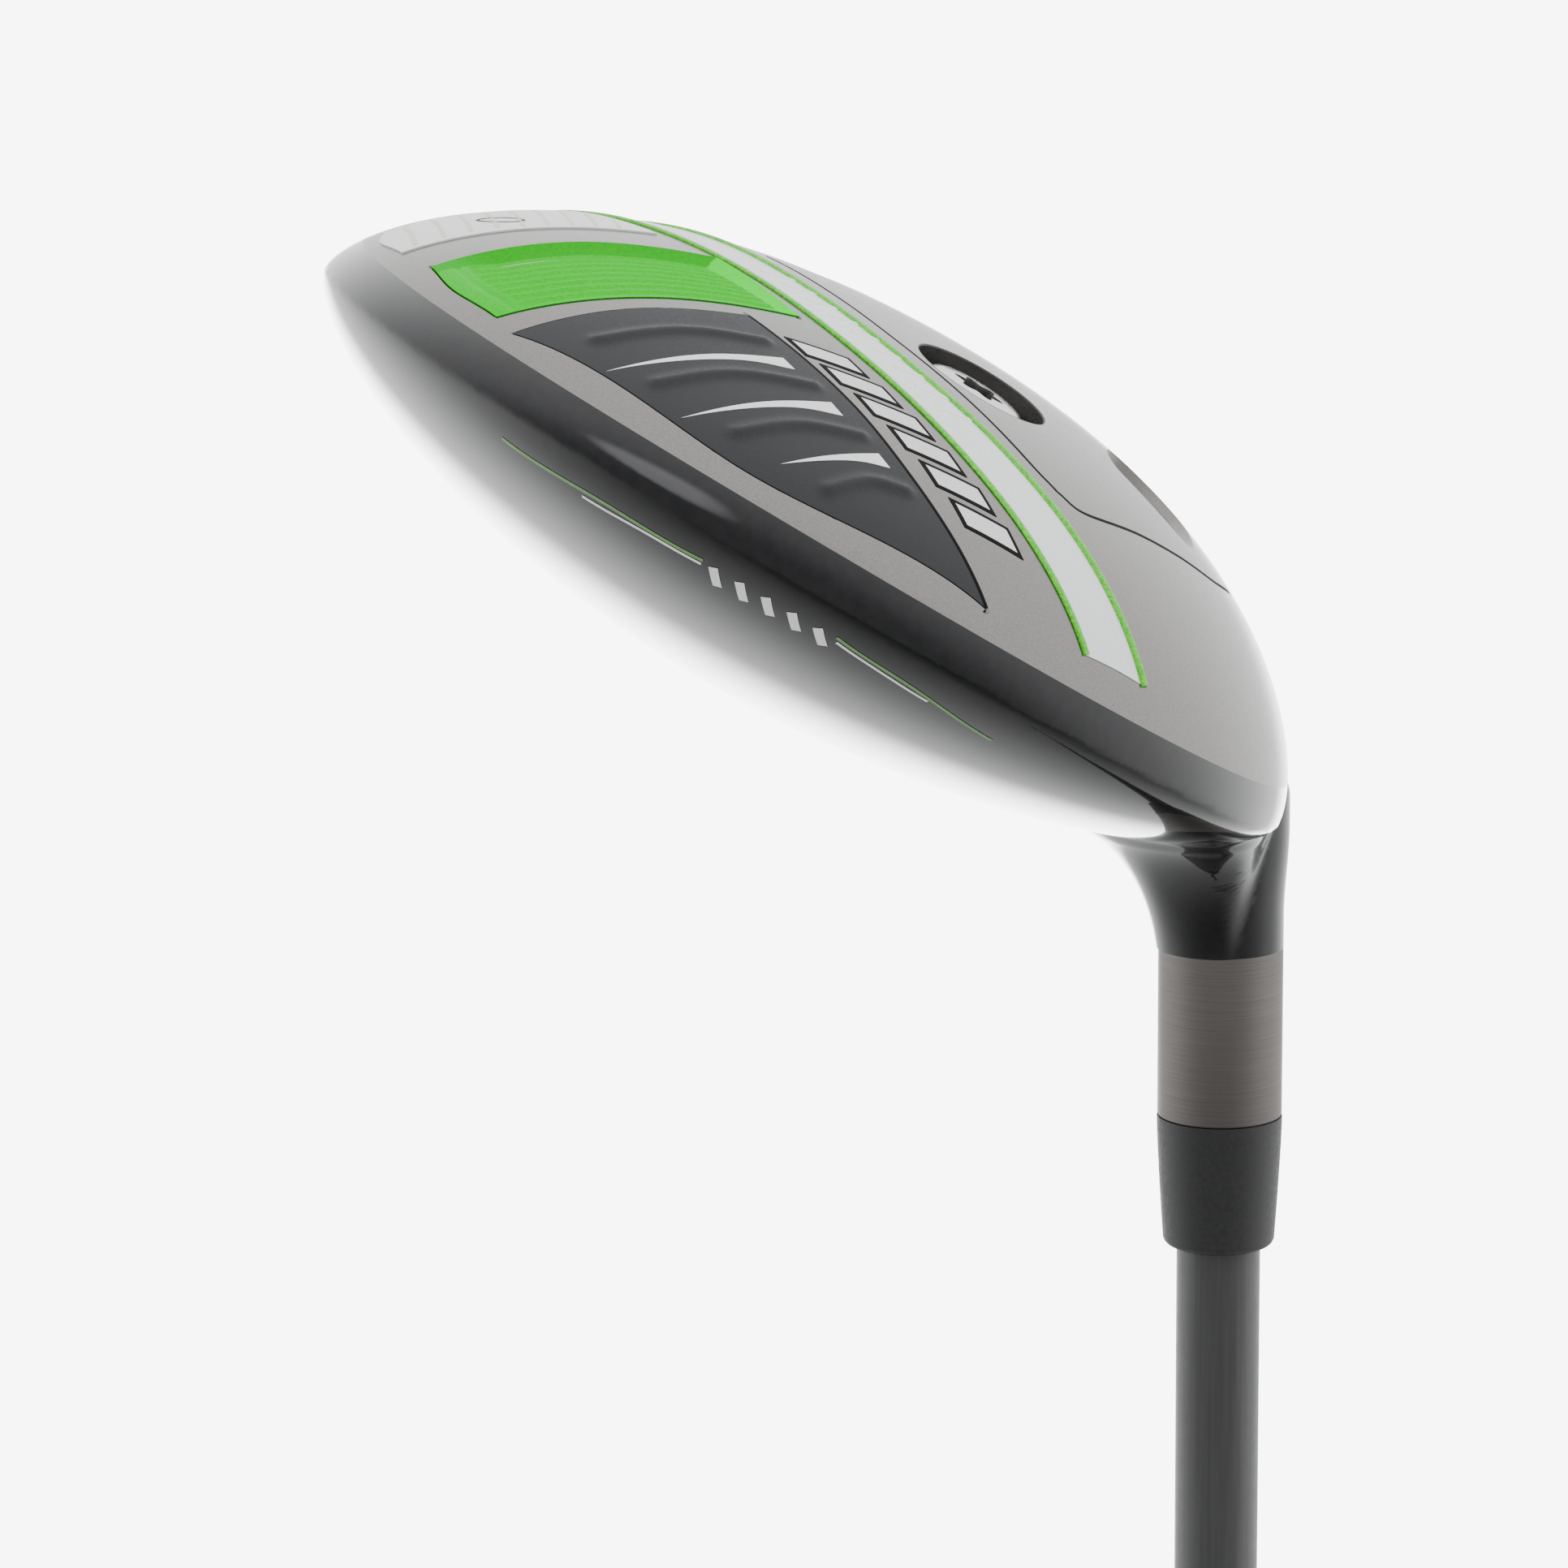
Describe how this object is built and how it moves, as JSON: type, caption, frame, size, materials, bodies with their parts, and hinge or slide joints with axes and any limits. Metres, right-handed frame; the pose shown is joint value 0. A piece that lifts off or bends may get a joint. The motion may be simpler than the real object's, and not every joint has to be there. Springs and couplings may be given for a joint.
{
  "type": "fairway wood",
  "caption": "Right-handed fairway wood with a hollow steel head, bonded carbon crown, ribbed green sole badge, screw-in sole weight, tapered graphite shaft and rubber grip.",
  "frame": {"origin": "centre of the grip cap's end face, on the shaft axis", "axes": "+Z along the shaft from butt to head; +Y the target side, which the face looks toward; -X toward the toe and +X toward the heel. The pictured view is from -Y, behind the head, with the butt down and the sole facing up."},
  "size_m": [0.1009, 0.0831, 1.1259],
  "materials": {
    "sole_metal": "satin gunmetal metallic paint",
    "crown_paint": "gloss black paint over carbon",
    "face_metal": "satin dark steel",
    "bare_steel": "as machined",
    "screw_metal": "bright plated",
    "washer_plastic": "matt",
    "badge_green": "metallic green, fine ribs",
    "panel_black": "matt",
    "ink_white": "semi-gloss",
    "stripe_white": "pearl white",
    "line_green": "glitter green, raised",
    "emblem_silver": "satin silver with black outline",
    "label_paper": "printed label",
    "adhesive": "clear glue",
    "hot_melt": "amber, tacky",
    "ferrule_plastic": "matt black",
    "graphite": "satin clear coat",
    "brass": "turned",
    "cork": "cork",
    "tape": "crepe tape",
    "grip_rubber": "matt with fine texture"
  },
  "bodies": {
    "club": {"head_body": "sole_metal", "face_cup": "face_metal", "crown_panel": "crown_paint", "crown_bond": "adhesive", "brace_blade_toe": "bare_steel", "brace_blade_heel": "bare_steel", "weight_port": "bare_steel", "toe_badge": "badge_green", "badge_adhesive": "adhesive", "louvre_panel": "panel_black", "panel_adhesive": "adhesive", "panel_streaks": "ink_white", "stripe_film": "stripe_white", "stripe_edge_inner": "line_green", "stripe_edge_outer": "line_green", "emblem_bars": "emblem_silver", "inventory_label": "label_paper", "damping_pad": "hot_melt", "ferrule": "ferrule_plastic", "shaft": "graphite", "shaft_epoxy": "adhesive", "tip_weight": "brass", "tip_plug": "cork", "grip_tape": "tape", "grip_sleeve": "grip_rubber", "grip_cap": "grip_rubber"},
    "weight_carrier": {"weight_washer": "washer_plastic"},
    "weight_screw": {"weight_screw": "screw_metal"}
  },
  "joints": [
    {"name": "weight_travel", "type": "slide", "parent": "club", "child": "weight_carrier", "axis": [0.5299, 0, 0.848], "range_m": [0, 0.007]},
    {"name": "weight_turn", "type": "hinge", "parent": "weight_carrier", "child": "weight_screw", "pos_m": [-0.02298, -0.0193, 1.10939], "axis": [0.5299, 0, 0.848], "range_deg": [0, 2521]}
  ],
  "couplings": [
    {"joint": "weight_turn", "follows": "weight_travel", "rad_per_m": 6283.2}
  ]
}
